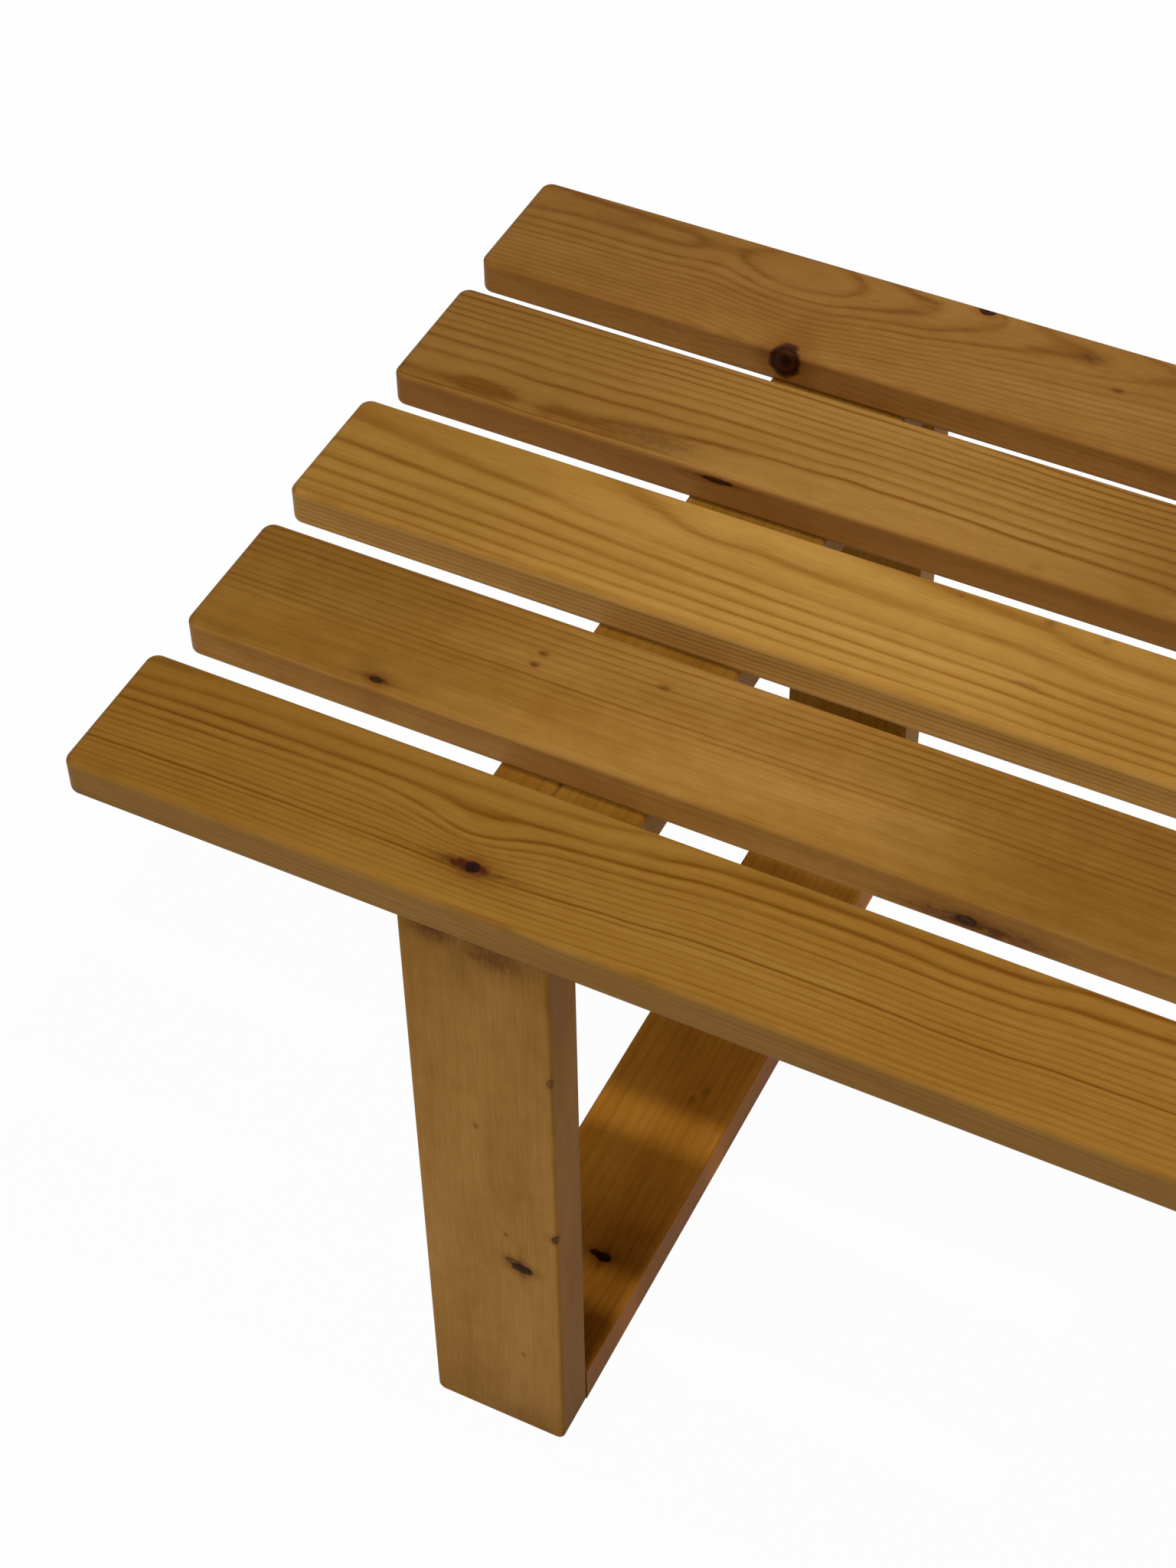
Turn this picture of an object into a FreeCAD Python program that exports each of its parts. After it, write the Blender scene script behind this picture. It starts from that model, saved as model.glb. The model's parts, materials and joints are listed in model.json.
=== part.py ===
import FreeCAD, Part
import os
from FreeCAD import Vector

# A slatted pine bench that pulls out lengthwise into a bed. Its deck is two combs of slats
# pushed into each other: the fixed comb stands on the left leg frame, the pull-out comb on the
# right one, and each comb has a batten near mid length that the other comb's slats slide on.
# Lengths are in millimetres. X runs along the slats, -Y is the front and Z = 0 is the floor.
# The origin is on the floor under the middle of the closed bench.

# Deck
seat_height = 458.0
deck_length = 1400.0
slat_width = 87.0
slat_thickness = 23.5
slat_gap = 25.0
slat_arris_radius = 3.5
slat_corner_radius = 7.0
# how far the pull-out slats' ends stop short of the fixed slats' ends when the bench is closed
pull_out_slat_setback = 3.0

# Leg frames
frame_board_width = 83.0
frame_board_thickness = 31.0
frame_arris_radius = 2.5
frame_end_arris_radius = 1.0
# the rounding of an upright's two bottom corners, as seen from the front
foot_corner_radius = 5.0
# from the slat ends to the outer face of the leg frame
frame_overhang = 188.0
# from the deck's front and back faces to the uprights
frame_setback = 3.0

# Battens
batten_width = 70.0
batten_thickness = 28.0
batten_arris_radius = 2.0
# from the deck's front and back faces to the battens' ends
batten_setback = 16.0
# between the two battens when the bench is closed
batten_gap = 2.0
# how far the fixed slats still reach past the sliding batten when the bench is pulled right out
slat_end_lap = 29.0

# Pegs that stand up out of the battens and run in grooves under the other comb's slats
peg_radius = 5.0
peg_rise = 8.0
peg_running_clearance = 0.3
peg_top_clearance = 1.0
peg_chamfer = 0.8

# Dowels that join the rails and runners to the uprights
dowel_radius = 5.0
dowel_depth_in_upright = 20.0
dowel_depth_in_end_grain = 30.0
# from the line of the rail screws to the line of the dowels, towards the board's middle
dowel_to_screw_distance = 11.0
dowel_chamfer = 1.0
dowel_end_clearance = 1.0
glue_line = 0.1

# Countersunk wood screws, driven up through the rails and battens into the slats
screw_shank_radius = 2.25
screw_head_radius = 4.5
screw_point_length = 5.0
screw_slot_width = 1.1
screw_slot_depth = 1.2
screw_hole_clearance = 0.1
screw_edge_distance = 12.0
rail_screw_length = 45.0
batten_screw_length = 40.0

# How far a cutting solid runs past the face that it cuts
overrun = 1.0

SLAT_NAMES = ("front_slat", "front_inner_slat", "middle_slat", "back_inner_slat", "back_slat")
FIXED_SLATS = ("front_slat", "middle_slat", "back_slat")
PULL_OUT_SLATS = ("front_inner_slat", "back_inner_slat")
# the fixed slats that have a groove for the sliding batten's pegs
GROOVED_FIXED_SLATS = ("front_slat", "back_slat")

UP = Vector(0, 0, 1)
BACKWARD = Vector(0, 1, 0)

# Places worked out from the sizes above
slat_pitch = slat_width + slat_gap
deck_depth = slat_pitch * (len(SLAT_NAMES) - 1) + slat_width
slat_underside = seat_height - slat_thickness
frame_centre = deck_length / 2 - frame_overhang - frame_board_width / 2
upright_outer_face = deck_depth / 2 - frame_setback
upright_inner_face = upright_outer_face - frame_board_thickness
batten_half_length = deck_depth / 2 - batten_setback
batten_centre = (batten_gap + batten_width) / 2
batten_underside = slat_underside - batten_thickness
rail_underside = slat_underside - frame_board_thickness
pull_out_travel = deck_length / 2 - batten_gap / 2 - batten_width - slat_end_lap


def slat_centre(name):
    """Y of a slat's centre line; the front slat comes first."""
    return slat_pitch * SLAT_NAMES.index(name) - (deck_depth - slat_width) / 2


def box_between(low, high):
    """A box between two opposite corners."""
    return Part.makeBox(high.x - low.x, high.y - low.y, high.z - low.z, low)


def edges_along(shape, direction):
    """The straight edges of a shape that run along a direction."""
    found = []
    for edge in shape.Edges:
        if not isinstance(edge.Curve, Part.Line):
            continue
        run = edge.Vertexes[-1].Point - edge.Vertexes[0].Point
        if run.Length > 0 and abs(abs(run.normalize().dot(direction)) - 1) < Part.Precision.angular():
            found.append(edge)
    return found


def edges_in_plane(shape, direction, place):
    """The edges of a shape that lie wholly in the plane square to a direction, at a place along it."""
    tolerance = Part.Precision.confusion()
    found = []
    for edge in shape.Edges:
        box = edge.BoundBox
        first = Vector(box.XMin, box.YMin, box.ZMin).dot(direction)
        last = Vector(box.XMax, box.YMax, box.ZMax).dot(direction)
        if abs(first - place) < tolerance and abs(last - place) < tolerance:
            found.append(edge)
    return found


def eased_slat(low, high):
    """A flat board with rounded corners in plan and rounded top and bottom arrises."""
    blank = box_between(low, high)
    blank = blank.makeFillet(slat_corner_radius, edges_along(blank, UP))
    outlines = edges_in_plane(blank, UP, low.z) + edges_in_plane(blank, UP, high.z)
    return blank.makeFillet(slat_arris_radius, outlines)


def eased_upright(low, high):
    """An upright board: bottom corners and long arrises rounded, top slightly eased."""
    blank = box_between(low, high)
    foot = [edge for edge in edges_along(blank, BACKWARD) if edge.BoundBox.Center.z < blank.BoundBox.Center.z]
    blank = blank.makeFillet(foot_corner_radius, foot)
    outlines = edges_in_plane(blank, BACKWARD, low.y) + edges_in_plane(blank, BACKWARD, high.y)
    below_top = [edge for edge in outlines if edge.BoundBox.Center.z < high.z - foot_corner_radius]
    blank = blank.makeFillet(frame_arris_radius, below_top)
    return blank.makeFillet(frame_end_arris_radius, edges_in_plane(blank, UP, high.z))


def eased_cross_board(low, high, radius):
    """A board across the bench: its long arrises are rounded and its ends left square."""
    blank = box_between(low, high)
    return blank.makeFillet(radius, edges_along(blank, BACKWARD))


def slat(name):
    """One slat of the deck, before its holes and groove are cut."""
    setback = pull_out_slat_setback if name in PULL_OUT_SLATS else 0
    half_length = deck_length / 2 - setback
    y = slat_centre(name)
    low = Vector(-half_length, y - slat_width / 2, slat_underside)
    high = Vector(half_length, y + slat_width / 2, seat_height)
    return eased_slat(low, high)


def upright(frame_x, side):
    """An upright of a leg frame: side -1 is the front, 1 the back."""
    near = min(side * upright_inner_face, side * upright_outer_face)
    low = Vector(frame_x - frame_board_width / 2, near, 0)
    high = Vector(frame_x + frame_board_width / 2, near + frame_board_thickness, slat_underside)
    return eased_upright(low, high)


def frame_cross_board(frame_x, underside):
    """A rail or runner, which fits between the two uprights of a leg frame."""
    low = Vector(frame_x - frame_board_width / 2, -upright_inner_face, underside)
    high = Vector(frame_x + frame_board_width / 2, upright_inner_face, underside + frame_board_thickness)
    return eased_cross_board(low, high, frame_arris_radius)


def batten(batten_x):
    """A cross batten, which lies flat against the undersides of the slats."""
    low = Vector(batten_x - batten_width / 2, -batten_half_length, batten_underside)
    high = Vector(batten_x + batten_width / 2, batten_half_length, slat_underside)
    return eased_cross_board(low, high, batten_arris_radius)


def pin(start, direction, radius, length, chamfer):
    """A round pin with chamfered ends."""
    straight = length - 2 * chamfer
    shoulder = start + direction * chamfer
    far_shoulder = shoulder + direction * straight
    first = Part.makeCone(radius - chamfer, radius, chamfer, start, direction)
    middle = Part.makeCylinder(radius, straight, shoulder, direction)
    last = Part.makeCone(radius, radius - chamfer, chamfer, far_shoulder, direction)
    return first.fuse([middle, last]).removeSplitter()


def dowel_places(frame_x):
    """Inner end, direction and place of each dowel of a leg frame."""
    places = []
    half_spacing = frame_board_width / 2 - screw_edge_distance - dowel_to_screw_distance
    for underside in (0, rail_underside):
        z = underside + frame_board_thickness / 2
        for side in (-1, 1):
            for x_side in (-1, 1):
                x = frame_x + x_side * half_spacing
                y = side * (upright_inner_face - dowel_depth_in_end_grain)
                places.append((Vector(x, y, z), Vector(0, side, 0)))
    return places


def dowel(place):
    """A dowel between a rail or runner and an upright."""
    start, direction = place
    length = dowel_depth_in_end_grain + dowel_depth_in_upright
    return pin(start, direction, dowel_radius, length, dowel_chamfer)


def dowel_hole(place):
    """The hole for a dowel, through the joint into both boards."""
    start, direction = place
    bottom = start - direction * dowel_end_clearance
    length = dowel_depth_in_end_grain + dowel_depth_in_upright + 2 * dowel_end_clearance
    return Part.makeCylinder(dowel_radius + glue_line, length, bottom, direction)


def screw_places(carrier_x, carrier_width, carrier_half_length, slat_names):
    """Two screws for each slat, near the long edges of the board that carries it."""
    places = []
    for name in slat_names:
        low = max(slat_centre(name) - slat_width / 2, -carrier_half_length)
        high = min(slat_centre(name) + slat_width / 2, carrier_half_length)
        for x_side in (-1, 1):
            x = carrier_x + x_side * (carrier_width / 2 - screw_edge_distance)
            places.append((x, (low + high) / 2))
    return places


def screw_body(x, y, head_z, length, clearance):
    """A countersunk screw without its slot, pointing up, grown all round by a clearance."""
    shank = screw_shank_radius + clearance
    head = screw_head_radius + clearance
    head_height = head - shank
    point_z = head_z + length - screw_point_length
    cone = Part.makeCone(head, shank, head_height, Vector(x, y, head_z), UP)
    stem = Part.makeCylinder(shank, point_z - head_z - head_height, Vector(x, y, head_z + head_height), UP)
    point = Part.makeCone(shank, clearance, screw_point_length + clearance, Vector(x, y, point_z), UP)
    return cone.fuse([stem, point]).removeSplitter()


def screw(x, y, head_z, length):
    """A countersunk screw with a slot across its head."""
    low = Vector(x - screw_head_radius, y - screw_slot_width / 2, head_z - overrun)
    high = Vector(x + screw_head_radius, y + screw_slot_width / 2, head_z + screw_slot_depth)
    return screw_body(x, y, head_z, length, 0).cut(box_between(low, high))


def peg(x, y):
    """A peg pressed up through a batten, standing proud of its top."""
    start = Vector(x, y, batten_underside)
    return pin(start, UP, peg_radius, batten_thickness + peg_rise, peg_chamfer)


def peg_hole(x, y):
    """The hole for a peg, right through a batten."""
    start = Vector(x, y, batten_underside - overrun)
    return Part.makeCylinder(peg_radius + glue_line, batten_thickness + 2 * overrun, start, UP)


def groove(first_x, last_x, y):
    """A blind groove with round ends in a slat's underside, for a peg between two places."""
    radius = peg_radius + peg_running_clearance
    depth = peg_rise + peg_top_clearance + overrun
    bottom = slat_underside - overrun
    low = Vector(first_x, y - radius, bottom)
    high = Vector(last_x, y + radius, bottom + depth)
    ends = [Part.makeCylinder(radius, depth, Vector(x, y, bottom), UP) for x in (first_x, last_x)]
    return box_between(low, high).fuse(ends).removeSplitter()


def cut_all(shape, tools):
    """A shape with every tool that reaches it cut away."""
    reaching = [tool for tool in tools if shape.BoundBox.intersect(tool.BoundBox)]
    return shape.cut(reaching) if reaching else shape


def half_bench(side, frame, batten_name, slat_names, grooved_names, peg_slat_names):
    """One comb of slats with its leg frame and batten: side -1 is the left end, 1 the right."""
    frame_x = side * frame_centre
    batten_x = side * batten_centre
    dowels = dowel_places(frame_x)
    rail_screws = screw_places(frame_x, frame_board_width, upright_inner_face, slat_names)
    batten_screws = screw_places(batten_x, batten_width, batten_half_length, slat_names)
    pegs = [(batten_x, slat_centre(name)) for name in peg_slat_names]

    holes = [dowel_hole(place) for place in dowels]
    for x, y in rail_screws:
        holes.append(screw_body(x, y, rail_underside, rail_screw_length, screw_hole_clearance))
    for x, y in batten_screws:
        holes.append(screw_body(x, y, batten_underside, batten_screw_length, screw_hole_clearance))
    for x, y in pegs:
        holes.append(peg_hole(x, y))

    # the other batten's pegs travel from the middle of the bench towards this comb's free end
    closed_x = -side * batten_centre
    open_x = closed_x - side * pull_out_travel
    shapes = {}
    for name in slat_names:
        tools = list(holes)
        if name in grooved_names:
            tools.append(groove(min(closed_x, open_x), max(closed_x, open_x), slat_centre(name)))
        shapes[name] = cut_all(slat(name), tools)

    shapes[frame + "_front_upright"] = cut_all(upright(frame_x, -1), holes)
    shapes[frame + "_back_upright"] = cut_all(upright(frame_x, 1), holes)
    shapes[frame + "_runner"] = cut_all(frame_cross_board(frame_x, 0), holes)
    shapes[frame + "_rail"] = cut_all(frame_cross_board(frame_x, rail_underside), holes)
    shapes[frame + "_dowels"] = Part.makeCompound([dowel(place) for place in dowels])
    shapes[frame + "_rail_screws"] = Part.makeCompound(
        [screw(x, y, rail_underside, rail_screw_length) for x, y in rail_screws])
    shapes[batten_name] = cut_all(batten(batten_x), holes)
    shapes[batten_name + "_screws"] = Part.makeCompound(
        [screw(x, y, batten_underside, batten_screw_length) for x, y in batten_screws])
    shapes[batten_name + "_pegs"] = Part.makeCompound([peg(x, y) for x, y in pegs])
    return shapes


def bench():
    """Every node of the bench, closed."""
    shapes = half_bench(-1, "left", "fixed_batten", FIXED_SLATS, GROOVED_FIXED_SLATS, PULL_OUT_SLATS)
    shapes.update(
        half_bench(1, "right", "sliding_batten", PULL_OUT_SLATS, PULL_OUT_SLATS, GROOVED_FIXED_SLATS))
    return shapes


os.makedirs("parts", exist_ok=True)
for node, shape in bench().items():
    if not shape.isValid():
        raise ValueError(node + " is not a valid shape")
    shape.exportStep("parts/" + node + ".step")
    print(node, "solids", len(shape.Solids))
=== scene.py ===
"""Finishes the slatted pull-out bench bed in lacquered pine, beech and zinc, on a pale studio floor."""

import json
import math
import random
from dataclasses import dataclass

import bpy
from bpy.props import FloatProperty, FloatVectorProperty, PointerProperty
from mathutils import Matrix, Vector

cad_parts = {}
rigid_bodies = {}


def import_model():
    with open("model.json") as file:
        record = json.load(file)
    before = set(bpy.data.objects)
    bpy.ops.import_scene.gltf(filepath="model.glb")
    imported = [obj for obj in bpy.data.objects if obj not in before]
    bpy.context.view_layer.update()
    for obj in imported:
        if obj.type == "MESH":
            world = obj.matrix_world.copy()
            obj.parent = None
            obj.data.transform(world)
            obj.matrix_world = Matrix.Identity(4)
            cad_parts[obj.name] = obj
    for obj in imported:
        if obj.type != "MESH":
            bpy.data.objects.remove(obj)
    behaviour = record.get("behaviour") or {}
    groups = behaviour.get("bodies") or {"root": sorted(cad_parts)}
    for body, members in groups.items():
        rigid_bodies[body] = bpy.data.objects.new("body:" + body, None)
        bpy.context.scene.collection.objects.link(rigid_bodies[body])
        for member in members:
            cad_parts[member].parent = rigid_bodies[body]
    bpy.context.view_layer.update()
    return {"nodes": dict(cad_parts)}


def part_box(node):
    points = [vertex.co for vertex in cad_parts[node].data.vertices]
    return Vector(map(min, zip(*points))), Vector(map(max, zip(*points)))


bl_info = {
    "name": "Slatted Pull-out Bench Finish",
    "version": (1, 0, 0),
    "blender": (4, 5, 0),
    "location": "3D View > Sidebar > Bench",
    "description": "Pine, beech and zinc finishes and a studio for a slatted pull-out bench bed",
    "category": "Material",
}

for leftover in list(bpy.data.objects):
    bpy.data.objects.remove(leftover)
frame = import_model()

MM_PER_M = 1000.0
WHITE = (1.0, 1.0, 1.0, 1.0)


def linear(red, green, blue):
    """A colour as it is read off a screen, 0 to 255, as linear light."""
    def channel(level):
        share = level / 255
        return share / 12.92 if share <= 0.04045 else ((share + 0.055) / 1.055) ** 2.4
    return (channel(red), channel(green), channel(blue))


# What a user would change

class BenchPine(bpy.types.PropertyGroup):
    """The lacquered pine of the slats, leg frames and battens."""
    early_wood: FloatVectorProperty(
        name="Early wood", description="The pale wood between two ring lines",
        subtype="COLOR", size=3, min=0, max=1, default=linear(159, 110, 37))
    late_wood: FloatVectorProperty(
        name="Late wood", description="The dark wood of a ring line",
        subtype="COLOR", size=3, min=0, max=1, default=linear(122, 72, 12))
    knot_heart: FloatVectorProperty(
        name="Knot heart", description="The dark middle of a knot",
        subtype="COLOR", size=3, min=0, max=1, default=linear(34, 14, 5))
    knot_wood: FloatVectorProperty(
        name="Knot wood", description="The brown wood of a knot between its own rings",
        subtype="COLOR", size=3, min=0, max=1, default=linear(74, 34, 9))
    resin: FloatVectorProperty(
        name="Resin", description="The reddish, resin-soaked wood round a knot",
        subtype="COLOR", size=3, min=0, max=1, default=linear(124, 66, 12))
    roughness: FloatProperty(
        name="Roughness", description="Roughness of the satin lacquer",
        subtype="FACTOR", min=0, max=1, default=0.42)
    relief: FloatProperty(
        name="Relief", description="Height of the grain that shows through the lacquer",
        subtype="DISTANCE", unit="LENGTH", min=0, max=0.002, default=0.0004)
    # Pales the arrises: partly worn lacquer, partly a painted highlight on their rounding
    edge_wear_and_highlight: FloatProperty(
        name="Edge wear", description="How much the lacquer has paled along the arrises",
        subtype="FACTOR", min=0, max=1, default=0.35)


class BenchFittings(bpy.types.PropertyGroup):
    """The beech pins and the zinc-plated screws."""
    beech: FloatVectorProperty(
        name="Beech", description="Colour of the dowels and pegs",
        subtype="COLOR", size=3, min=0, max=1, default=linear(190, 150, 108))
    beech_fleck: FloatVectorProperty(
        name="Beech fleck", description="Colour of the short flecks in the beech",
        subtype="COLOR", size=3, min=0, max=1, default=linear(140, 98, 62))
    zinc: FloatVectorProperty(
        name="Zinc", description="Colour of the clean screw plating",
        subtype="COLOR", size=3, min=0, max=1, default=linear(178, 176, 168))
    zinc_dull: FloatVectorProperty(
        name="Dulled zinc", description="Colour of the plating where it has dulled",
        subtype="COLOR", size=3, min=0, max=1, default=linear(112, 108, 98))


class BenchStage(bpy.types.PropertyGroup):
    """The floor, the light and the camera."""
    floor_tone: FloatProperty(
        name="Floor tone", description="How pale the floor is",
        subtype="FACTOR", min=0, max=1, default=0.93)
    floor_lift: FloatProperty(
        name="Floor lift", description="How far the floor's shadows are lifted towards white in the picture",
        subtype="FACTOR", min=0, max=1, default=0.97)
    room_light: FloatProperty(
        name="Room light", description="Strength of the even light from all round",
        min=0, max=5, default=0.09)
    ceiling_power: FloatProperty(
        name="Ceiling lamp power", description="Power of the small lamp high above, to the right",
        subtype="POWER", unit="POWER", min=0, max=1000, default=63)
    window_power: FloatProperty(
        name="Window power", description="Power of the large soft light high in front",
        subtype="POWER", unit="POWER", min=0, max=1000, default=37)
    far_power: FloatProperty(
        name="Far light power", description="Power of the soft light high at the back on the right",
        subtype="POWER", unit="POWER", min=0, max=1000, default=14.5)
    camera_spot: FloatVectorProperty(
        name="Camera place", description="Where the camera stands",
        subtype="TRANSLATION", unit="LENGTH", size=3, default=(0.01196, -1.07243, 1.56241))
    camera_aim: FloatVectorProperty(
        name="Camera aim", description="The point of the seat in the middle of the picture",
        subtype="TRANSLATION", unit="LENGTH", size=3, default=(-0.45507, -0.16725, 0.458))
    camera_roll: FloatProperty(
        name="Camera roll", description="Turn of the camera about its line of sight",
        subtype="ANGLE", unit="ROTATION", min=-math.pi, max=math.pi, default=math.radians(-1.083))
    camera_lens: FloatProperty(
        name="Lens", description="Focal length on a picture 36 mm high",
        unit="CAMERA", min=1, max=500, default=69.77)


# Nodes

class Sketch:
    """Adds nodes to a tree and joins them, so that a formula reads in the order it is worked out."""

    def __init__(self, tree):
        self.tree = tree

    def add(self, kind, **settings):
        """A node with its settings made."""
        node = self.tree.nodes.new(kind)
        for name, value in settings.items():
            setattr(node, name, value)
        return node

    def put(self, socket, value):
        """Links value to the socket if it is a socket, or else sets it there."""
        if isinstance(value, bpy.types.NodeSocket):
            self.tree.links.new(value, socket)
        else:
            socket.default_value = value

    def maths(self, operation, *terms, clamp=False):
        """One step of arithmetic."""
        node = self.add("ShaderNodeMath", operation=operation, use_clamp=clamp)
        for socket, term in zip(node.inputs, terms):
            self.put(socket, term)
        return node.outputs[0]

    def times(self, first, second, clamp=False):
        """The product of two numbers."""
        return self.maths("MULTIPLY", first, second, clamp=clamp)

    def vector(self, operation, *terms):
        """One step of vector arithmetic; the answer is a number for a length or a dot product."""
        node = self.add("ShaderNodeVectorMath", operation=operation)
        sockets = (node.inputs[0], node.inputs["Scale"]) if operation == "SCALE" else node.inputs
        for socket, term in zip(sockets, terms):
            self.put(socket, term)
        return node.outputs["Value" if operation in ("LENGTH", "DOT_PRODUCT") else "Vector"]

    def combine(self, *terms):
        """Three numbers as a vector."""
        node = self.add("ShaderNodeCombineXYZ")
        for socket, term in zip(node.inputs, terms):
            self.put(socket, term)
        return node.outputs[0]

    def span(self, value, low, high, start=0.0, end=1.0, smooth=False):
        """Value carried from the span low to high over to the span start to end, and held at its ends."""
        node = self.add("ShaderNodeMapRange", interpolation_type="SMOOTHSTEP" if smooth else "LINEAR")
        names = ("Value", "From Min", "From Max", "To Min", "To Max")
        for name, term in zip(names, (value, low, high, start, end)):
            self.put(node.inputs[name], term)
        return node.outputs[0]

    def curve(self, value, points, handles="AUTO_CLAMPED"):
        """A smooth curve through the points, each a place and the value there."""
        places = [place for place, _ in points]
        values = [height for _, height in points]
        low, high = min(values), max(values)
        rise = (high - low) or 1.0
        node = self.add("ShaderNodeFloatCurve")
        line = node.mapping.curves[0]
        while len(line.points) < len(points):
            line.points.new(0.5, 0.5)
        for point, (place, height) in zip(line.points, points):
            point.location = ((place - places[0]) / (places[-1] - places[0]), (height - low) / rise)
            point.handle_type = handles
        node.mapping.update()
        self.put(node.inputs["Value"], self.span(value, places[0], places[-1]))
        return self.maths("MULTIPLY_ADD", node.outputs[0], rise, low)

    def noise(self, point, scale=None, detail=2.0, roughness=0.5):
        """Soft noise from -1 to 1 at a point, which is scaled first if a scale is given."""
        node = self.add("ShaderNodeTexNoise")
        self.put(node.inputs["Vector"], self.vector("MULTIPLY", point, scale) if scale else point)
        node.inputs["Scale"].default_value = 1.0
        node.inputs["Detail"].default_value = detail
        node.inputs["Roughness"].default_value = roughness
        return self.maths("MULTIPLY_ADD", node.outputs["Fac"], 2.0, -1.0)

    def blend(self, share, first, second, way="MIX"):
        """Two colours mixed."""
        node = self.add("ShaderNodeMix", data_type="RGBA", blend_type=way)
        self.put(node.inputs["Factor"], share)
        self.put(node.inputs["A"], first if isinstance(first, bpy.types.NodeSocket) else (*first, 1.0))
        self.put(node.inputs["B"], second if isinstance(second, bpy.types.NodeSocket) else (*second, 1.0))
        return node.outputs["Result"]

    def add_up(self, start, *parts, clamp=False):
        """Start plus the sum of the parts, each a value and its share."""
        total = start
        for value, share in parts:
            total = self.maths("MULTIPLY_ADD", value, share, total, clamp=clamp)
        return total

    def most(self, *terms):
        """The largest of several numbers."""
        found = terms[0]
        for term in terms[1:]:
            found = self.maths("MAXIMUM", found, term)
        return found

    def end_with(self, shader, kind="ShaderNodeOutputMaterial"):
        """Joins the shader to the tree's output."""
        self.put(self.add(kind).inputs["Surface"], shader.outputs[0])


def new_material(name):
    """An empty node material and the sketch of its tree."""
    material = bpy.data.materials.new(name)
    material.use_nodes = True
    material.node_tree.nodes.clear()
    return material, Sketch(material.node_tree)


def surface(sketch, colour, roughness, height, relief, metallic=0.0, gloss=0.5):
    """The shader of a finish, with its relief as a bump. Height is in shares of the relief."""
    shader = sketch.add("ShaderNodeBsdfPrincipled")
    shader.inputs["Metallic"].default_value = metallic
    shader.inputs["Specular IOR Level"].default_value = gloss
    sketch.put(shader.inputs["Base Color"], colour)
    sketch.put(shader.inputs["Roughness"], roughness)
    bump = sketch.add("ShaderNodeBump")
    bump.inputs["Strength"].default_value = 1.0
    bump.inputs["Distance"].default_value = relief
    sketch.put(bump.inputs["Height"], height)
    sketch.put(shader.inputs["Normal"], bump.outputs[0])
    sketch.end_with(shader)


# Boards and the figure of their grain

# How far to each side rings swerve, as a share of how far along the grain they do
SWERVE_SPREAD = 0.62


@dataclass
class Knot:
    """A branch that a board was sawn through, in millimetres from the board's datum corner."""
    along: float
    across: float
    radius: float
    # how deep the branch's middle is there, and the way that the branch runs
    deep: float = 0.0
    run: tuple = (0.0, 0.0, 1.0)
    # how many times as long as wide the knot is
    stretch: float = 1.0
    # how far it shifts the rings, how far along the grain that reaches, and the share of that to each side
    pull: float = 0.0
    reach: float = 12.0
    spread: float = SWERVE_SPREAD
    # how dark the knot is, and how long and how dark its brown smear is
    tone: float = 1.0
    smear: float = 3.0
    stain: float = 0.0


PLAIN_TINT = (1.0, 1.0, 1.0)
EVEN_TONES = ((0, 1.0), (1, 1.0))


@dataclass
class Figure:
    """How a board lies in its tree: the path of the pith below it, and the radius and strength of each ring.

    Sunk takes the pith deeper and the rings wider together, which leaves the face as it is drawn here and
    closes up the lines on the edges."""
    pith_across: tuple
    pith_depth: tuple
    rings: tuple
    bold: tuple
    knots: tuple = ()
    sunk: float = 60.0
    # how far the rings stray, in millimetres, how dark their lines are, and the share of that on the edges
    waver: float = 0.3
    contrast: float = 1.0
    edge_contrast: float = 0.5
    # the colour of the whole board, its level from place to place along the face, part tone and part painted
    # light and shade, and the painted light, shade and sheen of its edges
    tint: tuple = PLAIN_TINT
    tone_and_light: tuple = EVEN_TONES
    edge_light_and_shade: tuple = PLAIN_TINT
    # how much one year's wood differs from the next, and how cloudy the board is
    growth: float = 0.14
    mottle: float = 1.0
    # how worn its arrises are, with a painted highlight on them, how brown its knots are round their hearts,
    # and how glossy its lacquer is
    worn_and_lit: float = 0.5
    knot_glow: float = 0.15
    gloss: float = 0.04


# How squarely a face looks along a direction where it starts and where it fully counts as facing it
FACING_LEAN = (0.55, 0.9)


@dataclass
class Board:
    """A board's own directions in the row frame: along the grain, across the face and down into the wood."""
    node: str
    along: str
    across: str
    deep: str

    def edge(self, direction):
        """The place of the face that a direction starts from, in metres."""
        low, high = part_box(self.node)
        axis = "XYZ".index(direction[1])
        return low[axis] if direction[0] == "+" else high[axis]

    def size(self, direction):
        """The board's size in a direction, in millimetres."""
        low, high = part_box(self.node)
        axis = "XYZ".index(direction[1])
        return (high[axis] - low[axis]) * MM_PER_M

    def point(self, sketch):
        """The three distances from the datum corner in millimetres, as node outputs."""
        place = sketch.add("ShaderNodeTexCoord").outputs["Object"]
        parts = sketch.add("ShaderNodeSeparateXYZ")
        sketch.put(parts.inputs[0], place)
        found = []
        for direction in (self.along, self.across, self.deep):
            scale = MM_PER_M if direction[0] == "+" else -MM_PER_M
            start = -self.edge(direction) * scale
            part = parts.outputs["XYZ".index(direction[1])]
            found.append(sketch.maths("MULTIPLY_ADD", part, scale, start))
        return found

    def facing(self, sketch, direction):
        """1 on the two faces that a direction looks out of and 0 on the others."""
        normal = sketch.add("ShaderNodeTexCoord").outputs["Normal"]
        axis = [0.0, 0.0, 0.0]
        axis["XYZ".index(direction[1])] = 1.0
        lean = sketch.maths("ABSOLUTE", sketch.vector("DOT_PRODUCT", normal, axis))
        return sketch.span(lean, *FACING_LEAN, smooth=True)


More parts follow.
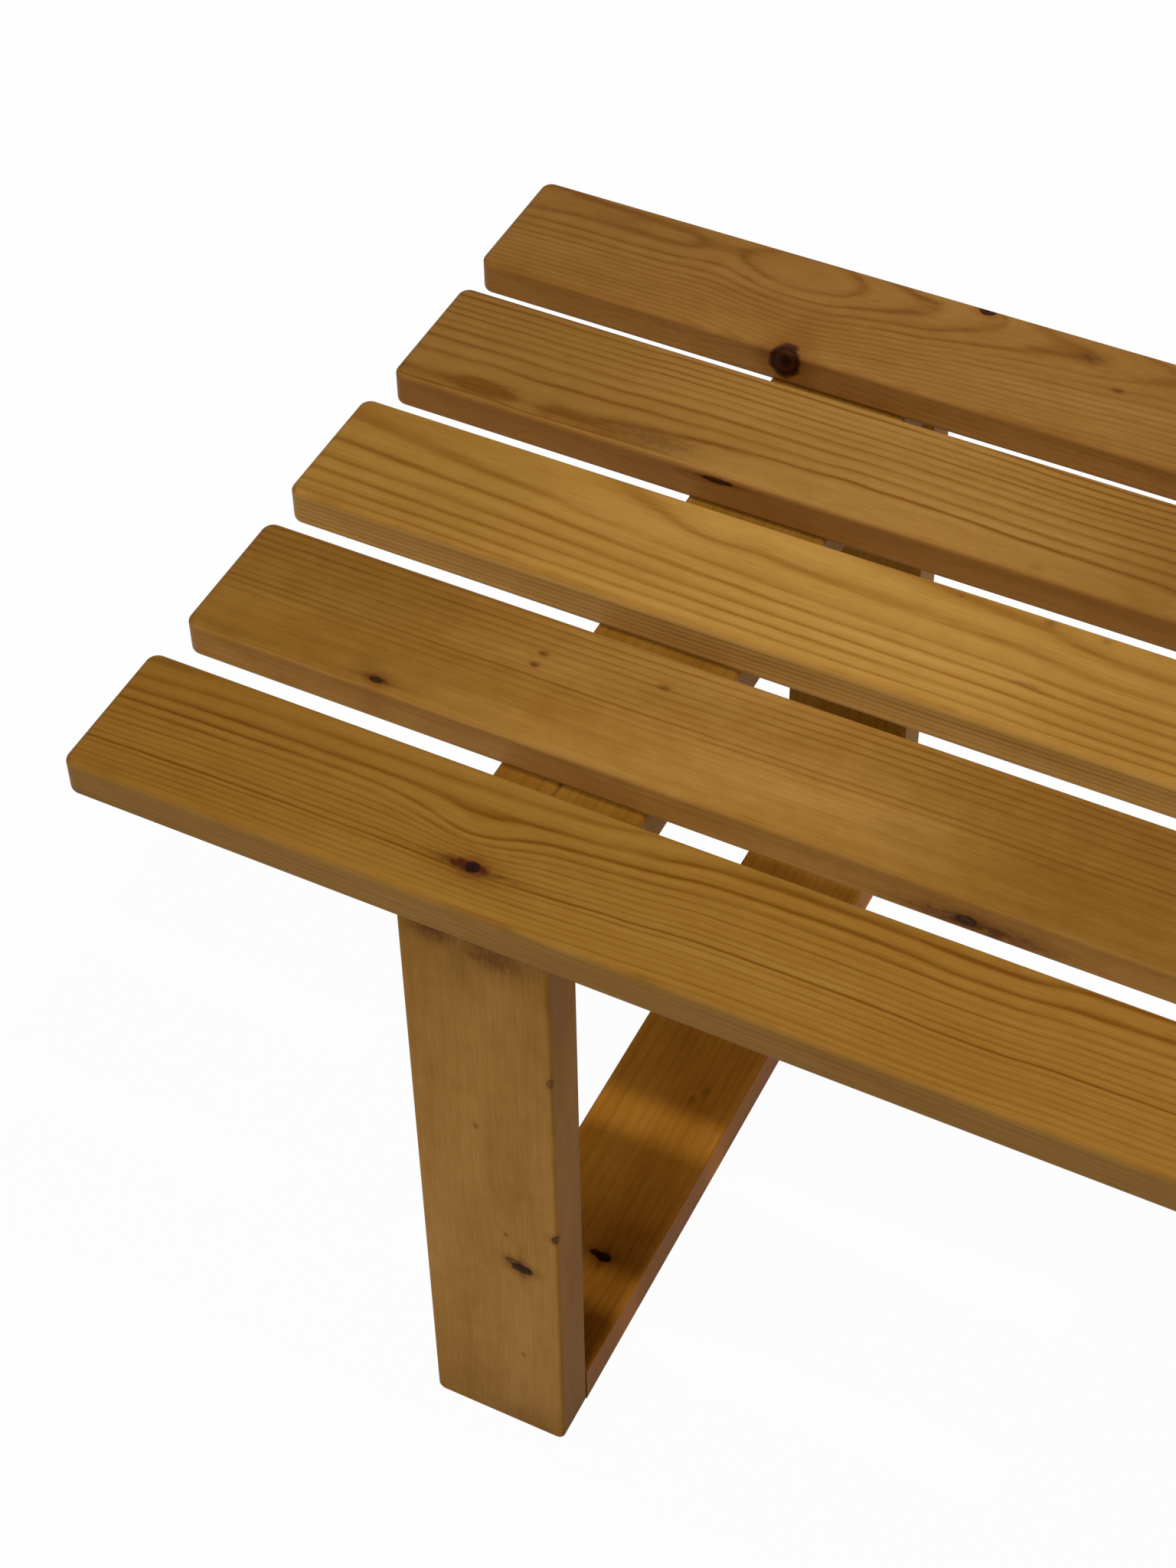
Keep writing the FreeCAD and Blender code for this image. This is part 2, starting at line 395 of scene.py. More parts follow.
# Where the parts of a knot fade in, from nothing to full, in radii of the knot from its middle
KNOT_BODY = (1.2, 0.8)
KNOT_RIM_OUTSIDE = (1.3, 1.0)
KNOT_RIM_INSIDE = (0.9, 0.6)
KNOT_HALO = (3.0, 0.9)
# How far a knot's outline strays, in radii, in coarse bulges and in fine ones
OUTLINE_BULGES = 0.24
OUTLINE_NICKS = 0.12
# Coarse bulges in one radius, and fine ones in a millimetre along, across and into the board
BULGES_PER_RADIUS = 0.9
NICKS_PER_MM = (0.22, 0.35, 0.35)
# The half width of a smear, in radii, and how patchy it is
SMEAR_WIDTH = 0.55
SMEAR_PATCHINESS = 0.9
# Farther than any knot's edge, in radii
NO_KNOT = 1000.0


def knot_group():
    """The node group that draws one knot: its body, rim, halo and smear, and its pull on the rings."""
    tree = bpy.data.node_groups.new("Pine knot", "ShaderNodeTree")
    for way, kind, names in (
            ("INPUT", "NodeSocketVector", ("Point", "Centre", "Run", "Narrowing")),
            ("INPUT", "NodeSocketFloat", ("Radius", "Reach", "Spread", "Smear")),
            ("OUTPUT", "NodeSocketFloat", ("Body", "Rim", "Halo", "Streak", "Pull", "Distance"))):
        for name in names:
            tree.interface.new_socket(name, in_out=way, socket_type=kind)
    sketch = Sketch(tree)
    given = sketch.add("NodeGroupInput").outputs
    result = sketch.add("NodeGroupOutput").inputs
    offset = sketch.vector("SUBTRACT", given["Point"], given["Centre"])
    lengthwise = sketch.vector("DOT_PRODUCT", offset, given["Run"])
    along_branch = sketch.vector("MULTIPLY", sketch.combine(*[lengthwise] * 3), given["Run"])
    spoke = sketch.vector("SUBTRACT", offset, along_branch)
    narrowed = sketch.vector("MULTIPLY", spoke, given["Narrowing"])
    distance = sketch.vector("LENGTH", narrowed)
    share = sketch.maths("DIVIDE", distance, given["Radius"])
    bulge_scale = sketch.maths("DIVIDE", BULGES_PER_RADIUS, given["Radius"])
    bulges = sketch.noise(sketch.vector("SCALE", offset, bulge_scale), detail=1.0)
    nicks = sketch.noise(given["Point"], NICKS_PER_MM, detail=3.0)
    share = sketch.times(share, sketch.add_up(1.0, (bulges, OUTLINE_BULGES)))
    share = sketch.add_up(share, (nicks, OUTLINE_NICKS))
    sketch.put(result["Distance"], share)
    sketch.put(result["Body"], sketch.span(share, *KNOT_BODY, smooth=True))
    outer = sketch.span(share, *KNOT_RIM_OUTSIDE, smooth=True)
    inner = sketch.span(share, *KNOT_RIM_INSIDE, smooth=True)
    sketch.put(result["Rim"], sketch.maths("SUBTRACT", outer, inner, clamp=True))
    sketch.put(result["Halo"], sketch.span(share, *KNOT_HALO, smooth=True))
    parts = sketch.add("ShaderNodeSeparateXYZ")
    sketch.put(parts.inputs[0], spoke)
    sideways = sketch.vector("LENGTH", sketch.vector("MULTIPLY", spoke, (0.0, 1.0, 1.0)))

    def mound(along_reach, side_reach):
        """A soft mound that falls to nothing along the grain and beside it."""
        far = sketch.maths("ABSOLUTE", sketch.maths("DIVIDE", parts.outputs[0], along_reach))
        far = sketch.maths("POWER", far, 2.0)
        wide = sketch.maths("POWER", sketch.maths("DIVIDE", sideways, side_reach), 2.0)
        return sketch.maths("EXPONENT", sketch.times(sketch.maths("ADD", far, wide), -1.0))

    side_reach = sketch.times(given["Reach"], given["Spread"])
    sketch.put(result["Pull"], mound(given["Reach"], side_reach))
    smear_width = sketch.times(given["Radius"], SMEAR_WIDTH)
    patches = sketch.add_up(1.0, (nicks, SMEAR_PATCHINESS))
    streak = sketch.times(mound(given["Smear"], smear_width), patches, clamp=True)
    sketch.put(result["Streak"], streak)
    return tree


def draw_knots(sketch, point, knots, group):
    """Body, rim, halo and streak over all knots, their summed pull, and how far the nearest one is."""
    marks = {"Body": [0.0], "Rim": [0.0], "Halo": [0.0], "Streak": [0.0]}
    pull, nearest = 0.0, NO_KNOT
    for knot in knots:
        node = sketch.add("ShaderNodeGroup", node_tree=group)
        for name, value in (
                ("Point", point), ("Centre", (knot.along, knot.across, knot.deep)),
                ("Run", Vector(knot.run).normalized()), ("Narrowing", (1 / knot.stretch, 1.0, 1.0)),
                ("Radius", knot.radius), ("Reach", knot.reach), ("Spread", knot.spread),
                ("Smear", knot.smear)):
            sketch.put(node.inputs[name], value)
        for name, found in marks.items():
            tone = knot.stain if name == "Streak" else knot.tone
            found.append(sketch.times(node.outputs[name], tone))
        pull = sketch.add_up(pull, (node.outputs["Pull"], knot.pull))
        nearest = sketch.maths("MINIMUM", node.outputs["Distance"], nearest)
    return [sketch.most(*found) for found in marks.values()] + [pull, nearest]


# Rings that carry on inside and outside those that a figure lists, for the underside and the edges
INNER_RINGS = 9
OUTER_RINGS = 6
# How dark the wood is across one ring, from its start to its end; the line itself lies just before the end
LATE_WOOD_RISE = (
    (0.0, 0.62), (0.1, 0.2), (0.24, 0.03), (0.5, 0.06), (0.68, 0.3), (0.82, 0.8), (0.92, 1.0), (1.0, 0.62))
# The share of a ring by which that curve is shifted
RING_START = 0.08
# How many of each kind of unevenness there are in a millimetre along, across and into the board
RING_SWAYS = (1 / 60, 1 / 24, 1 / 24)
RING_TREMBLES = (1 / 14, 1 / 4, 1 / 4)
RING_PATCHES = (1 / 110, 1 / 5, 1 / 5)
# How much a ring trembles for its sway, and how strong its line is between patches
TREMBLE_SHARE = 0.4
PATCH_LEVEL = 0.95


def ring_lines(sketch, figure, along, across, deep, pull):
    """How much late wood shows where the board cuts the rings round its pith, and which ring it is."""
    point = sketch.combine(along, across, deep)
    sways = sketch.noise(point, RING_SWAYS, detail=1.0)
    trembles = sketch.noise(point, RING_TREMBLES, detail=1.0)
    waver = sketch.times(sketch.add_up(sways, (trembles, TREMBLE_SHARE)), figure.waver)
    sideways = sketch.maths("SUBTRACT", across, sketch.curve(along, figure.pith_across))
    pith = sketch.vector("LENGTH", sketch.combine(sketch.curve(along, figure.pith_depth), figure.sunk, 0.0))
    upwards = sketch.maths("SUBTRACT", pith, deep)
    radius = sketch.vector("LENGTH", sketch.combine(sideways, upwards, 0.0))
    radius = sketch.maths("ADD", sketch.maths("SUBTRACT", radius, pull), waver)
    sunk_rings = [math.hypot(ring, figure.sunk) for ring in figure.rings]
    step = (sunk_rings[-1] - sunk_rings[0]) / (len(sunk_rings) - 1)
    inner = [sunk_rings[0] - step * number for number in range(INNER_RINGS, 0, -1)]
    outer = [sunk_rings[-1] + step * number for number in range(1, OUTER_RINGS + 1)]
    radii = (*inner, *sunk_rings, *outer)
    count = sketch.curve(radius, tuple((ring, float(number)) for number, ring in enumerate(radii)), "VECTOR")
    strengths = (*[figure.bold[0]] * INNER_RINGS, *figure.bold, *[figure.bold[-1]] * OUTER_RINGS)
    bold = sketch.curve(radius, tuple(zip(radii, strengths)))
    share = sketch.maths("FRACT", sketch.maths("SUBTRACT", count, RING_START))
    late = sketch.curve(share, LATE_WOOD_RISE)
    patches = sketch.noise(point, RING_PATCHES, detail=3.0)
    strength = sketch.times(bold, sketch.maths("ADD", patches, PATCH_LEVEL))
    strength = sketch.times(strength, figure.contrast)
    return sketch.times(late, strength, clamp=True), count


# Where the wear on an arris, with its painted highlight, starts and where it is full, in millimetres from
# the arris
WEAR_AND_HIGHLIGHT_REACH = (5.0, 1.2)
# It breaks off where the dapple in the wood falls from the second level to the first
WEAR_AND_HIGHLIGHT_BREAKS = (-0.35, 0.3)


def arris_wear_and_highlight(sketch, board, across, deep, breakup):
    """1 on the two long arrises of the face and 0 away from them, broken up along the board."""
    width = board.size(board.across)
    to_side = sketch.maths("MINIMUM", across, sketch.maths("SUBTRACT", width, across))
    to_arris = sketch.maths("ADD", to_side, sketch.maths("ABSOLUTE", deep))
    near = sketch.span(to_arris, *WEAR_AND_HIGHLIGHT_REACH, smooth=True)
    return sketch.times(near, sketch.span(breakup, *WEAR_AND_HIGHLIGHT_BREAKS, smooth=True))


# How many of each kind of unevenness there are in a millimetre along, across and into the board
FIBRES = (1 / 34, 1.1, 1.1)
PORES = (1 / 7, 2.6, 2.6)
CLOUDS = (1 / 170, 1 / 38, 1 / 38)
DAPPLES = (1 / 16, 1 / 11, 1 / 11)
# The same for one year's growth against the next, by ring and by millimetre along the board
GROWTH_BY_RING = 3.4
GROWTH_BY_LENGTH = 1 / 260
# How much of their darkness the pores show, between two levels of their noise
PORE_LEVELS = (0.25, 0.6)
# How much each makes the wood lighter or darker
FIBRE_SHADE = 0.2
CLOUD_SHADE = 0.16
DAPPLE_SHADE = 0.07
PORE_SHADE = -0.1
# The powers by which green and blue follow red when wood is darker, in its grain and in its tone and painted
# light from place to place
GRAIN_DEEPENING = (1.45, 2.6)
PLACE_DEEPENING = (1.2, 1.8)
# Painted shade, a dark line along an edge's lower arris: where it starts and is full, in millimetres, and
# its level
PAINTED_SHADE_REACH = (3.6, 0.8)
PAINTED_SHADE_LEVEL = 0.55
# How much paler than the wood a worn arris with its painted highlight is, and how far the end grain goes
# towards late wood
WORN_AND_LIT_PALENESS = 1.15
END_DARKNESS = 0.35
# How strongly the parts of a knot show
HALO_STRENGTH = 0.5
STREAK_STRENGTH = 0.85
RIM_STRENGTH = 0.8
# Where a knot's dark heart gives way to brown wood, in radii, and how much the dapple breaks that up
HEART_REACH = (0.15, 0.6)
HEART_DAPPLE = 0.35
# What fibre, dapple, a worn arris and end grain add to the roughness of the lacquer
PINE_ROUGHNESS = (0.05, 0.07, 0.1, 0.18)
# How far fibre, ring lines, dapple, a knot's rim and its body stand out, as shares of the relief
PINE_HEIGHTS = (0.12, 0.22, 0.25, -0.6, 0.3)


def pine(board, figure, group):
    """Lacquered pine for one board, with its own rings, knots, fibres, marks and worn arrises."""
    settings = bpy.context.scene.bench_pine
    material, sketch = new_material("pine " + board.node.replace("_", " "))
    along, across, deep = board.point(sketch)
    point = sketch.combine(along, across, deep)
    body, rim, halo, streak, pull, knot_distance = draw_knots(sketch, point, figure.knots, group)
    ends = board.facing(sketch, board.along)
    edges = board.facing(sketch, board.across)
    late, count = ring_lines(sketch, figure, along, across, deep, pull)
    late = sketch.times(late, sketch.span(edges, 0.0, 1.0, 1.0, figure.edge_contrast))

    fibre = sketch.noise(point, FIBRES, detail=4.0, roughness=0.62)
    pores = sketch.noise(point, PORES, detail=2.0)
    year = sketch.times(count, GROWTH_BY_RING)
    stretch = sketch.times(along, GROWTH_BY_LENGTH)
    growth = sketch.noise(sketch.combine(year, stretch, 0.0), detail=3.0, roughness=0.6)
    cloud = sketch.noise(point, CLOUDS, detail=2.0)
    dapple = sketch.noise(point, DAPPLES, detail=3.0)

    early = tuple(value * share for value, share in zip(settings.early_wood, figure.tint))
    dark = tuple(value * share for value, share in zip(settings.late_wood, figure.tint))
    colour = sketch.blend(late, early, dark)
    # The level along the face: partly the board's own tone, partly painted light and shade; the edges keep
    # their own level
    tone = sketch.span(edges, 0.0, 1.0, sketch.curve(along, figure.tone_and_light), 1.0)
    shade = sketch.add_up(
        1.0, (fibre, FIBRE_SHADE), (growth, figure.growth), (cloud, CLOUD_SHADE * figure.mottle),
        (dapple, DAPPLE_SHADE * figure.mottle), (sketch.span(pores, *PORE_LEVELS), PORE_SHADE))
    for level, powers in ((shade, GRAIN_DEEPENING), (tone, PLACE_DEEPENING)):
        green, blue = (sketch.maths("POWER", level, power) for power in powers)
        colour = sketch.blend(1.0, colour, sketch.combine(level, green, blue), "MULTIPLY")
    # Painted light and shade on the edge faces, and a painted sheen where their blue is raised
    colour = sketch.blend(edges, colour, sketch.blend(1.0, colour, figure.edge_light_and_shade, "MULTIPLY"))

    # Painted shade: the edge faces darken along their lower arris
    painted_shade_start, painted_shade_full = (board.size(board.deep) - height for height in PAINTED_SHADE_REACH)
    painted_shade = sketch.span(deep, painted_shade_start, painted_shade_full, 1.0, PAINTED_SHADE_LEVEL, smooth=True)
    colour = sketch.blend(edges, colour, sketch.vector("SCALE", colour, painted_shade))

    # Worn lacquer and a painted highlight pale the long arrises
    wear_and_highlight = sketch.times(arris_wear_and_highlight(sketch, board, across, deep, dapple), figure.worn_and_lit)
    worn_and_lit_colour = tuple(min(1.0, value * WORN_AND_LIT_PALENESS) for value in early)
    colour = sketch.blend(sketch.times(wear_and_highlight, settings.edge_wear_and_highlight, clamp=True), colour, worn_and_lit_colour)

    brown = sketch.span(sketch.add_up(knot_distance, (dapple, HEART_DAPPLE)), *HEART_REACH, smooth=True)
    brown = sketch.times(brown, figure.knot_glow)
    knot_colour = sketch.blend(brown, settings.knot_heart, settings.knot_wood)
    for mark, strength, mark_colour in (
            (ends, END_DARKNESS, settings.late_wood), (halo, HALO_STRENGTH, settings.resin),
            (streak, STREAK_STRENGTH, settings.knot_wood), (body, 1.0, knot_colour),
            (rim, RIM_STRENGTH, settings.knot_heart)):
        colour = sketch.blend(sketch.times(mark, strength), colour, mark_colour)

    rough_parts = zip((fibre, dapple, wear_and_highlight, ends), PINE_ROUGHNESS)
    rough = sketch.add_up(settings.roughness, *rough_parts, clamp=True)
    height = sketch.add_up(0.0, *zip((fibre, late, dapple, rim, body), PINE_HEIGHTS))
    surface(sketch, colour, rough, height, settings.relief, gloss=figure.gloss)
    return material


def bend(along, across, pull, reach, spread=SWERVE_SPREAD):
    """A place where the rings swerve with no knot in sight."""
    return Knot(along, across, 1.0, tone=0.0, pull=pull, reach=reach, spread=spread)


def smudge(along, across, width, length, strength):
    """A soft brown mark with no knot in it."""
    return Knot(along, across, width, tone=0.0, smear=length, stain=strength)


# The slats' right end, and the places along them at which their levels of tone and painted light are given,
# in millimetres
SLAT_END = 1400
TONE_PLACES = (0, 80, 300, 520, 760, 1050, SLAT_END)


def slat_tone_and_light(*levels):
    """A slat's levels of tone and painted light, each with its place."""
    return tuple(zip(TONE_PLACES, levels))


# The slats' figures from left to right: as the photograph shows them up to about 550 mm, and of the
# same kind from there on
SLATS = {
    "back_slat": Figure(
        pith_across=((0, 15.2), (SLAT_END, 16)),
        pith_depth=(
            (0, 27), (50, 28.8), (100, 29), (113, 30.2), (128, 30.8), (140, 29.9), (152, 28.3), (175, 26.6),
            (200, 27.6), (214, 30), (240, 33.3), (257, 34.6), (280, 38.4), (292, 39.6), (340, 43.6),
            (362, 44.6), (405, 47.2), (520, 50), (640, 46), (800, 43), (980, 47), (1180, 54),
            (SLAT_END, 51)),
        rings=(12, 18, 24, 30, 34.7, 39.6, 44, 47.6, 50.8, 54.2, 57.6, 61, 64.5, 68, 71.5, 75, 78.5, 82),
        bold=(.6, .6, .7, .9, .9, .9, .8, .6, .5, .7, .5, .5, .7, .4, .5, .4, .5, .4),
        knots=(
            Knot(197, 87, 8.4, deep=6.5, run=(0.0, 0.8, -0.6), pull=4.4, reach=42, smear=20, stain=0.4),
            Knot(287, 3, 3.6, stretch=1.3, pull=2, reach=16),
            smudge(378, 38, 4.5, 4, 0.75),
            smudge(355, 18, 9, 8, 0.8),
            smudge(185, 17, 7, 7, 0.12),
            Knot(743, 60, 4.4, stretch=1.3, pull=3.5, reach=36, smear=18, stain=0.9),
            Knot(1105, 26, 2.8, stretch=1.4, pull=2, reach=30, smear=12, stain=0.7)),
        sunk=60, waver=0.45, contrast=0.76, mottle=1.4, tint=(0.86, 0.865, 1.45),
        edge_light_and_shade=(1.22, 1.2, 1.26), knot_glow=0.8,
        tone_and_light=slat_tone_and_light(0.98, 1.0, 1.08, 0.95, 1.02, 0.95, 1.0)),
    "back_inner_slat": Figure(
        pith_across=(
            (0, 78), (125, 77), (150, 76), (200, 77), (250, 78), (300, 79), (350, 80.5), (400, 82),
            (450, 80), (700, 78), (SLAT_END, 74)),
        pith_depth=(
            (0, 20.7), (30, 20.6), (42, 20), (57, 19.6), (72, 20), (83, 20.5), (95, 19.95), (108, 19.9),
            (118, 20.15), (127, 19.9), (137, 19.5), (150, 19.1), (175, 17.6), (200, 15), (250, 12.6),
            (300, 8.7), (350, 8.7), (400, 9), (450, 14), (520, 19), (700, 17), (900, 23), (1100, 28),
            (SLAT_END, 24)),
        rings=(6, 12, 20, 27.9, 36.9, 45.4, 51, 57.1, 61.8, 67, 72.8, 78, 83),
        bold=(.1, .1, 1, .8, .7, .75, .5, .8, .8, .7, 1.05, 1, .95),
        knots=(
            smudge(84, 32, 4, 2, 0.2),
            smudge(158, 75, 14, 32, 0.6),
            smudge(385, 81, 4, 4, 0.35),
            Knot(203, 86, 1.7, deep=4.5, run=(0.0, 1.0, -0.1), stretch=5.0, tone=0.8, smear=16, stain=0.5),
            Knot(191, 86, 2.6, deep=6, run=(0.0, 1.0, -0.1), stretch=5.0, tone=0.12),
            Knot(656, 32, 3.0, stretch=1.3, pull=2, reach=30, smear=16, stain=0.9),
            Knot(1011, 62, 4.6, stretch=1.2, pull=1.5, reach=36, smear=20, stain=0.9)),
        sunk=120, waver=0.22, contrast=0.9, tint=(0.92, 0.96, 1.58), edge_light_and_shade=(1.02, 0.95, 1.0),
        tone_and_light=slat_tone_and_light(0.94, 0.97, 1.2, 0.85, 0.95, 1.03, 0.97)),
    "middle_slat": Figure(
        pith_across=((0, 2), (100, -1), (200, -5.5), (300, -9), (400, -11), (500, -13), (SLAT_END, -10)),
        pith_depth=(
            (0, 70), (100, 65.3), (160, 60.5), (188, 57.8), (235, 54), (300, 49.3), (400, 44.7), (500, 37),
            (700, 46), (950, 58), (1150, 52), (SLAT_END, 64)),
        rings=(36, 49, 60.3, 71.4, 78.5, 86.6, 93.5, 100.4, 106.3, 112, 118),
        bold=(.6, 1, .9, .9, 1, 1, 1, .9, .9, .9, .9),
        knots=(
            bend(222, 14, 0.85, 24),
            bend(249, 16, -0.3, 14),
            smudge(361, 6, 3.5, 2, 0.4),
            smudge(410, 5, 5, 3, 0.5),
            smudge(441, 5, 4, 3, 0.4),
            smudge(415, 52, 3, 8, 0.4),
            Knot(877, 42, 3.6, stretch=1.3, pull=2, reach=34, smear=15, stain=0.9),
            Knot(1241, 68, 2.4, stretch=1.5, pull=1.5, reach=26, smear=12, stain=0.7)),
        sunk=204, waver=0.2, contrast=0.68, edge_contrast=0.8, tint=(1.19, 1.32, 2.0),
        edge_light_and_shade=(1.2, 1.28, 1.76), worn_and_lit=1.4,
        tone_and_light=slat_tone_and_light(0.9, 0.93, 1.17, 0.95, 0.97, 1.03, 0.95)),
    "front_inner_slat": Figure(
        pith_across=((0, 120), (200, 119), (500, 116), (SLAT_END, 124)),
        pith_depth=((0, 40), (SLAT_END, 46)),
        rings=(46, 56, 66, 71.5, 77.5, 82, 85.5, 89.5, 93, 98.5, 104, 108.5, 113.5, 118, 123),
        bold=(.2, .15, .15, .2, .3, .6, .75, .35, .4, .45, .5, .6, .7, .6, .6),
        knots=(
            Knot(112, 81, 1.9, stretch=1.8, pull=1.5, reach=18, tone=0.75, smear=13, stain=1.0),
            smudge(112, 80.6, 5, 9, 1.0),
            smudge(112, 80, 12, 8, 0.45),
            smudge(105, 73, 11, 8, 0.2),
            smudge(181, 27, 3.4, 3.2, 1.0),
            smudge(180, 36, 3.4, 3.2, 1.0),
            smudge(247, 22, 4, 4, 0.8),
            Knot(439, 87, 3.2, deep=15, run=(0.0, 1.0, 0.0), stretch=1.6, tone=0.65, smear=24, stain=0.6),
            Knot(444, 87, 11, deep=17, run=(0.0, 1.0, 0.0), tone=0.0, smear=42, stain=1.0),
            smudge(270, 22, 42, 420, 0.1),
            smudge(395, 62, 22, 24, 0.14),
            Knot(813, 50, 3.4, stretch=1.2, pull=4, reach=34, smear=16, stain=0.9),
            Knot(1196, 22, 2.2, stretch=1.5, pull=2, reach=24, smear=12, stain=0.7)),
        sunk=60, waver=0.6, contrast=0.95, mottle=1.9, tint=(0.89, 0.91, 1.27), edge_light_and_shade=(1.35, 1.4, 1.78),
        tone_and_light=slat_tone_and_light(0.88, 0.9, 1.24, 0.82, 1.0, 0.94, 1.0)),
    "front_slat": Figure(
        pith_across=((0, -28), (SLAT_END, -28)),
        pith_depth=(
            (0, 33), (100, 39.5), (200, 41), (300, 49), (355, 54.5), (400, 55), (470, 54), (520, 57),
            (700, 60), (950, 52), (1150, 40), (SLAT_END, 45)),
        rings=(
            38, 48, 57, 65.6, 72, 77.5, 81.5, 85.6, 88.6, 92.5, 95.2, 99.5, 102.4, 106.4, 109.4, 113.4, 116,
            120.4, 124, 128),
        bold=(.3, .3, .5, .9, .9, .65, .4, .6, .35, .4, .5, 1, .5, .3, .5, .35, .3, .45, .3, .4),
        knots=(
            Knot(219, 60, 3.2, stretch=1.1, pull=1.0, reach=30, smear=24, stain=1.0),
            smudge(16, 4, 7, 14, 0.3),
            bend(207, 37, 3.7, 30, 0.36),
            bend(209, 47, 1.7, 24, 0.32),
            smudge(217, 60.2, 6.6, 14, 1.7),
            smudge(220, 60.5, 16, 16, 0.6),
            Knot(641, 24, 2.6, stretch=1.2, pull=2, reach=30, smear=12, stain=0.9),
            Knot(969, 54, 4.2, stretch=1.2, pull=4, reach=40, smear=18, stain=0.9),
            Knot(1289, 36, 2.2, stretch=1.4, pull=1.5, reach=24, smear=12, stain=0.7)),
        sunk=120, waver=0.4, contrast=1.1, tint=(0.885, 0.91, 1.09), edge_light_and_shade=(1.0, 1.07, 1.58),
        tone_and_light=slat_tone_and_light(0.9, 0.95, 1.05, 1.05, 0.97, 1.02, 0.95)),
}

# The knots and marks of the leg boards that the photograph shows, from the top or the front end
UPRIGHT_KNOTS = (
    Knot(270, 61, 2.9, run=(0.0, -0.86, 0.5), stretch=1.2, pull=1, reach=22, tone=0.85, smear=14, stain=0.6),
    Knot(266, 56, 2.4, run=(0.0, -0.86, 0.5), tone=0.5),
    smudge(268, 58, 20, 8, 0.3),
    Knot(153, 38, 1.3, stretch=1.6, tone=0.25),
    Knot(243, 52, 1.2, stretch=1.4, tone=0.3),
    Knot(358, 59, 1.3, stretch=1.5, tone=0.25),
    # Dark marks along the top of the upright, just under the slat
    smudge(4, 20, 26, 8, 0.8),
    smudge(8, 54, 34, 10, 0.75),
    smudge(20, 34, 14, 16, 0.3),
    smudge(400, 40, 60, 34, 0.14),
    smudge(425, 62, 40, 18, 0.25),
    Knot(230, 83, 2.0, run=(0.0, 1.0, -1.0), stretch=1.6, tone=0.6),
    Knot(92, 83, 1.6, run=(0.0, 1.0, -1.0), stretch=2.2, tone=0.35))
RUNNER_KNOTS = (
    Knot(75, 57, 4.4, stretch=0.66, pull=3, reach=22, smear=10, stain=0.4),
    Knot(76, 51, 3.2, stretch=0.6, tone=0.9),
    smudge(204, 55, 4, 4, 0.5),
    smudge(213, 60, 4, 4, 0.5))
# Their levels along each board are partly tone and partly painted light and shade
SHOWN_BOARDS = {
    "left_front_upright": {
        "knots": UPRIGHT_KNOTS, "contrast": 0.12, "tint": (1.14, 1.24, 2.3), "edge_light_and_shade": (1.0, 0.88, 0.445),
        "tone_and_light": ((0, 0.78), (30, 0.92), (90, 1.04), (200, 1.09), (330, 1.1), (434, 1.03))},
    "left_runner": {
        "knots": RUNNER_KNOTS, "contrast": 0.5, "tint": (1.6, 1.46, 1.35), "edge_light_and_shade": (0.93, 0.8, 0.5),
        "tone_and_light": ((0, 0.95), (70, 0.8), (120, 0.98), (180, 1.05), (230, 0.98), (465, 1.0))},
}


# The leg frames' and battens' own figure. Places across are shares of the width, lengths are in millimetres.
QUIET_PITH_ACROSS = (-0.35, -0.2, 1.2, 1.35)
QUIET_PITH_DEPTH = (24, 60)
# How far the pith wanders, across and in depth, at each of these shares of the length
PITH_WANDER_ACROSS = 2
PITH_STOPS_ACROSS = (0, 0.33, 0.66, 1)
PITH_WANDER_DEPTH = 4
PITH_STOPS_DEPTH = (0, 0.25, 0.5, 0.75, 1)
# Where the rings start, how wide and strong they are, and the radius or number that ends them
FIRST_RING = 8.0
RING_WIDTHS = (3.6, 7.2)
RING_STRENGTHS = (0.25, 0.75)
LAST_RING = 190
MOST_RINGS = 28
# How pale a board is as a whole
BOARD_TONES = (0.94, 1.0)


def quiet_figure(
        seed, length, width, knots=(), tone_and_light=EVEN_TONES, tint=PLAIN_TINT, edge_light_and_shade=PLAIN_TINT,
        contrast=0.4):
    """The figure of a board that the leg frames and battens use: fine, nearly straight rings."""
    chance = random.Random(seed)

    def wander(centre, reach, stops):
        """A line along the board that strays from its centre at each stop."""
        return tuple((length * share, centre + chance.uniform(-reach, reach)) for share in stops)

    across = width * chance.choice(QUIET_PITH_ACROSS)
    depth = chance.uniform(*QUIET_PITH_DEPTH)
    pith_across = wander(across, PITH_WANDER_ACROSS, PITH_STOPS_ACROSS)
    pith_depth = wander(depth, PITH_WANDER_DEPTH, PITH_STOPS_DEPTH)
    rings, bold = [], []
    radius = FIRST_RING
    while radius < LAST_RING and len(rings) < MOST_RINGS:
        radius += chance.uniform(*RING_WIDTHS)
        rings.append(radius)
        bold.append(chance.uniform(*RING_STRENGTHS))
    tone = chance.uniform(*BOARD_TONES)
    return Figure(
        pith_across, pith_depth, tuple(rings), tuple(bold), knots, sunk=0, waver=0.5, contrast=contrast,
        tint=tuple(tone * share for share in tint), tone_and_light=tone_and_light, growth=0.08,
        edge_light_and_shade=edge_light_and_shade, mottle=1.7, gloss=0.012)


# Knots of the boards that the photograph doesn't show: how many, and the spans of their places and sizes.
# Places along are shares of each knot's own stretch of board, places across are shares of its width.
KNOTS_PER_BOARD = 2
KNOT_ALONG = (0.25, 0.75)
KNOT_ACROSS = (0.15, 0.85)
KNOT_RADIUS = (1.4, 3.6)
KNOT_PULL = (1, 3)


